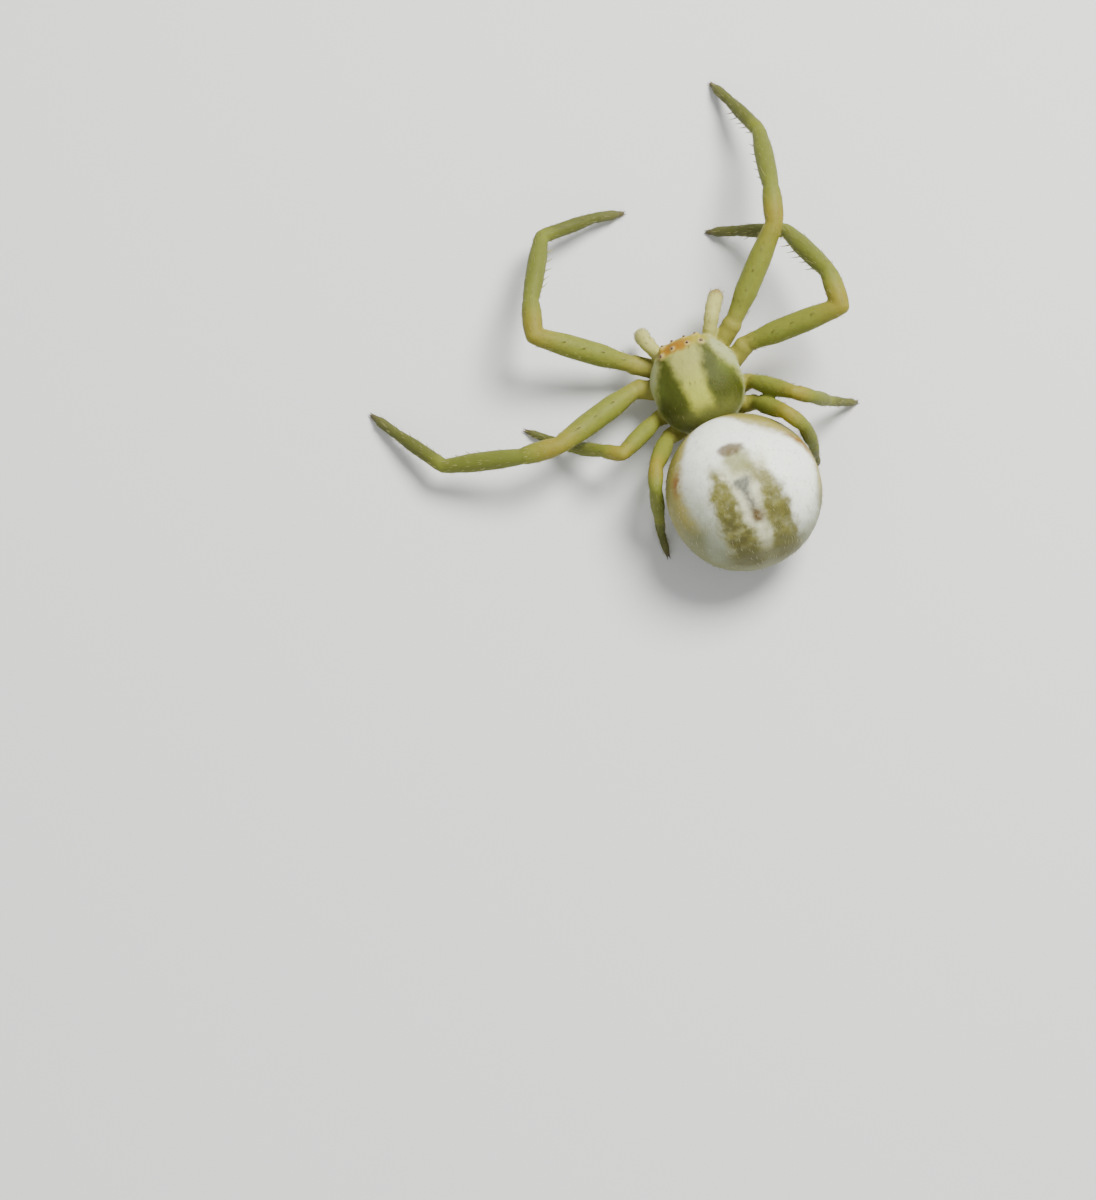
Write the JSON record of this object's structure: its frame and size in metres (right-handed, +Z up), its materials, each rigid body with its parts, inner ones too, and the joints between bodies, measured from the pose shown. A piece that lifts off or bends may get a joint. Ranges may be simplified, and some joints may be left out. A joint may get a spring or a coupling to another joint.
{
  "type": "crab spider",
  "caption": "Flower crab spider, life size: round pale abdomen, low olive front body, long front legs spread wide and short hind legs, standing on its feet.",
  "frame": {"origin": "middle of the footprint box, on the floor that the feet stand on", "axes": "the animal faces -Y, its left side is +X, up is +Z"},
  "size_m": [0.0096, 0.0102, 0.0027],
  "materials": {
    "carapace": "glossy olive-green cuticle with a pale yellow-green middle band and a whitish rim",
    "underside": "pale yellow-green cuticle, satin",
    "abdomen": "creamy white soft cuticle with two olive bands, satin",
    "spinneret": "dull olive cuticle",
    "leg": "translucent olive-green cuticle, paler and yellower at the joints",
    "foot": "translucent olive-green cuticle turning grey-brown at the tip",
    "joint": "pale yellow translucent cuticle",
    "palp": "cream-green translucent cuticle with an orange-brown tip",
    "jaw": "pale yellow-green cuticle",
    "fang": "hard dark brown, polished",
    "eye": "small dark glossy lens"
  },
  "bodies": {
    "root": {"carapace": "carapace", "sternum": "underside", "labium": "underside", "pedicel": "joint", "abdomen": "abdomen", "spinnerets": "spinneret", "maxilla_left": "underside", "chelicera_left": "jaw", "fang_left": "fang", "palp_left": "palp", "eye_anterior_median_left": "eye", "eye_anterior_lateral_left": "eye", "eye_posterior_median_left": "eye", "eye_posterior_lateral_left": "eye", "leg_1_left_coxa": "joint", "leg_1_left_femur": "leg", "leg_1_left_tibia": "leg", "leg_1_left_foot": "foot", "leg_2_left_coxa": "joint", "leg_2_left_femur": "leg", "leg_2_left_tibia": "leg", "leg_2_left_foot": "foot", "leg_3_left_coxa": "joint", "leg_3_left_femur": "leg", "leg_3_left_tibia": "leg", "leg_3_left_foot": "foot", "leg_4_left_coxa": "joint", "leg_4_left_femur": "leg", "leg_4_left_tibia": "leg", "leg_4_left_foot": "foot", "maxilla_right": "underside", "chelicera_right": "jaw", "fang_right": "fang", "palp_right": "palp", "eye_anterior_median_right": "eye", "eye_anterior_lateral_right": "eye", "eye_posterior_median_right": "eye", "eye_posterior_lateral_right": "eye", "leg_1_right_coxa": "joint", "leg_1_right_femur": "leg", "leg_1_right_tibia": "leg", "leg_1_right_foot": "foot", "leg_2_right_coxa": "joint", "leg_2_right_femur": "leg", "leg_2_right_tibia": "leg", "leg_2_right_foot": "foot", "leg_3_right_coxa": "joint", "leg_3_right_femur": "leg", "leg_3_right_tibia": "leg", "leg_3_right_foot": "foot", "leg_4_right_coxa": "joint", "leg_4_right_femur": "leg", "leg_4_right_tibia": "leg", "leg_4_right_foot": "foot"}
  },
  "joints": []
}
